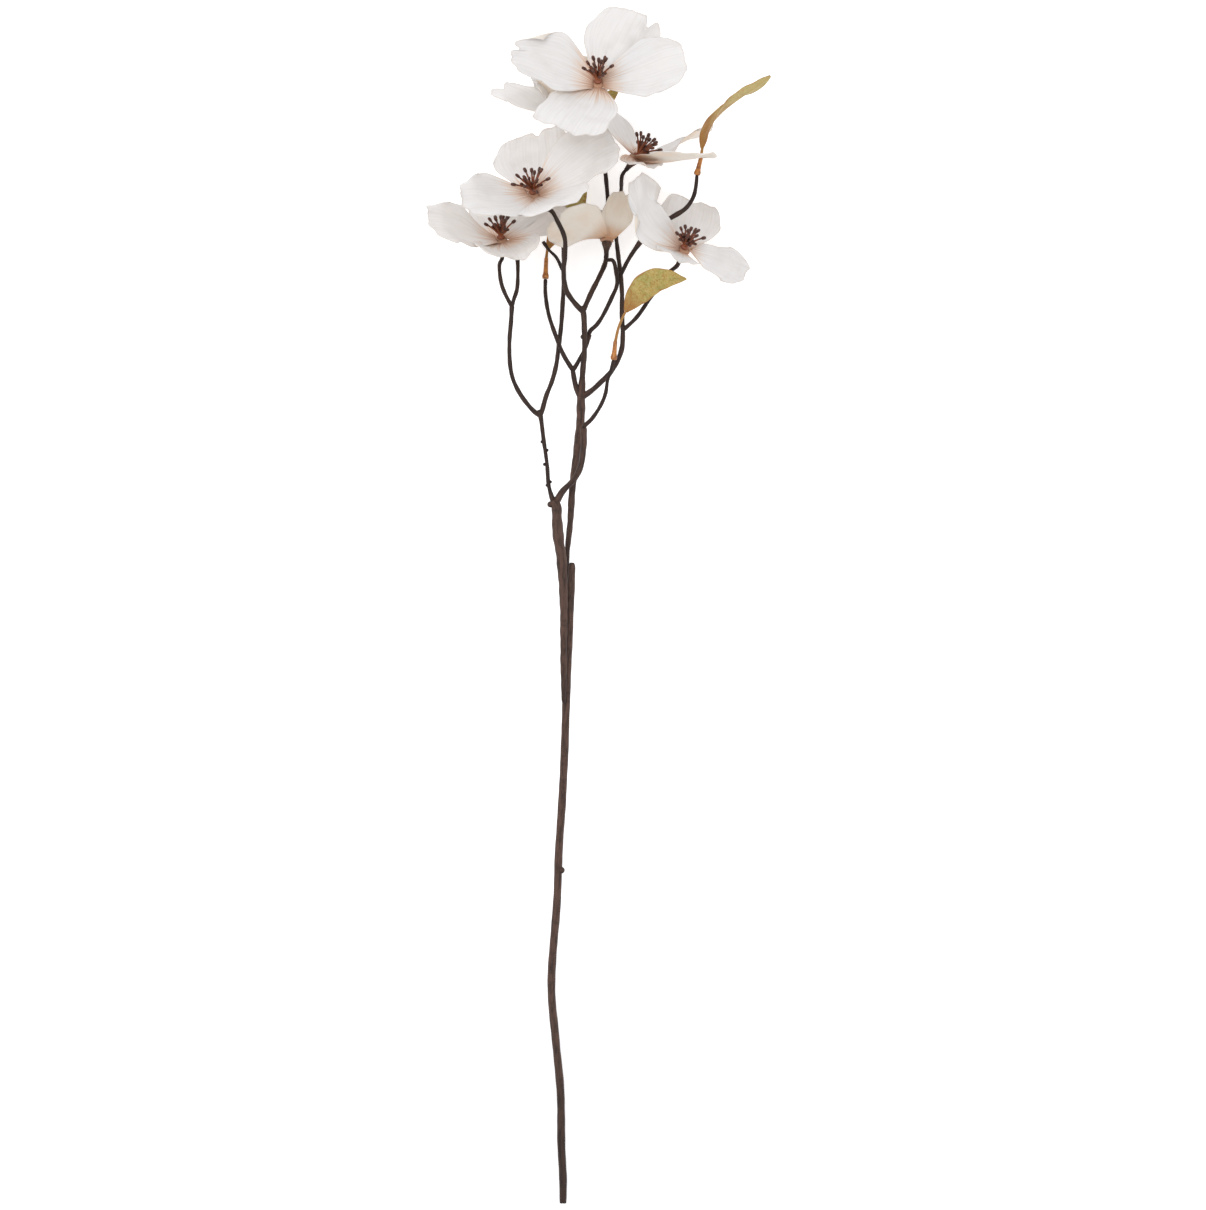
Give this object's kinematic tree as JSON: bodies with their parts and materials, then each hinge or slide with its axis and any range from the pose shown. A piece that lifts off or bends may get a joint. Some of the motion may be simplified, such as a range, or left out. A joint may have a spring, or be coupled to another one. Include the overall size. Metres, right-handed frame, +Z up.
{
  "type": "dogwood blossom stem",
  "caption": "Artificial flowering stem lying down: forked plastic-coated branches with white four-petalled fabric blossoms, stamens and small olive leaves.",
  "frame": {"origin": "middle of the small flat under the main stem, near its cut end, on the surface the stem lies on", "axes": "+Y along the stem from the cut end to the blossoms, +Z up from the surface it lies on, +X to the right seen from above"},
  "size_m": [0.2064, 0.7195, 0.1295],
  "materials": {
    "bark": "matt dark brown coating",
    "wire": "bare wire",
    "petal": "soft off-white woven fabric",
    "stamen": "dark red-brown",
    "leaf": "olive-gold fabric",
    "sleeve": "golden brown"
  },
  "bodies": {
    "root": {"main_stem": "bark", "stem_wire": "wire", "left_stem": "bark", "middle_stem": "bark", "bloom_6_twig": "bark", "bloom_1_petals": "petal", "bloom_1_stamens": "stamen", "bloom_2_petals": "petal", "bloom_2_stamens": "stamen", "bloom_3_petals": "petal", "bloom_3_stamens": "stamen", "bloom_4_petals": "petal", "bloom_4_stamens": "stamen", "bloom_5_petals": "petal", "bloom_5_stamens": "stamen", "bloom_6_petals": "petal", "bloom_6_stamens": "stamen", "bloom_7_petals": "petal", "bloom_7_stamens": "stamen", "leaf_1_twig": "bark", "leaf_1_sleeve": "sleeve", "leaf_1": "leaf", "leaf_2_twig": "bark", "leaf_2_sleeve": "sleeve", "leaf_2": "leaf", "leaf_3_sleeve": "sleeve", "leaf_3": "leaf", "leaf_4": "leaf"}
  },
  "joints": []
}
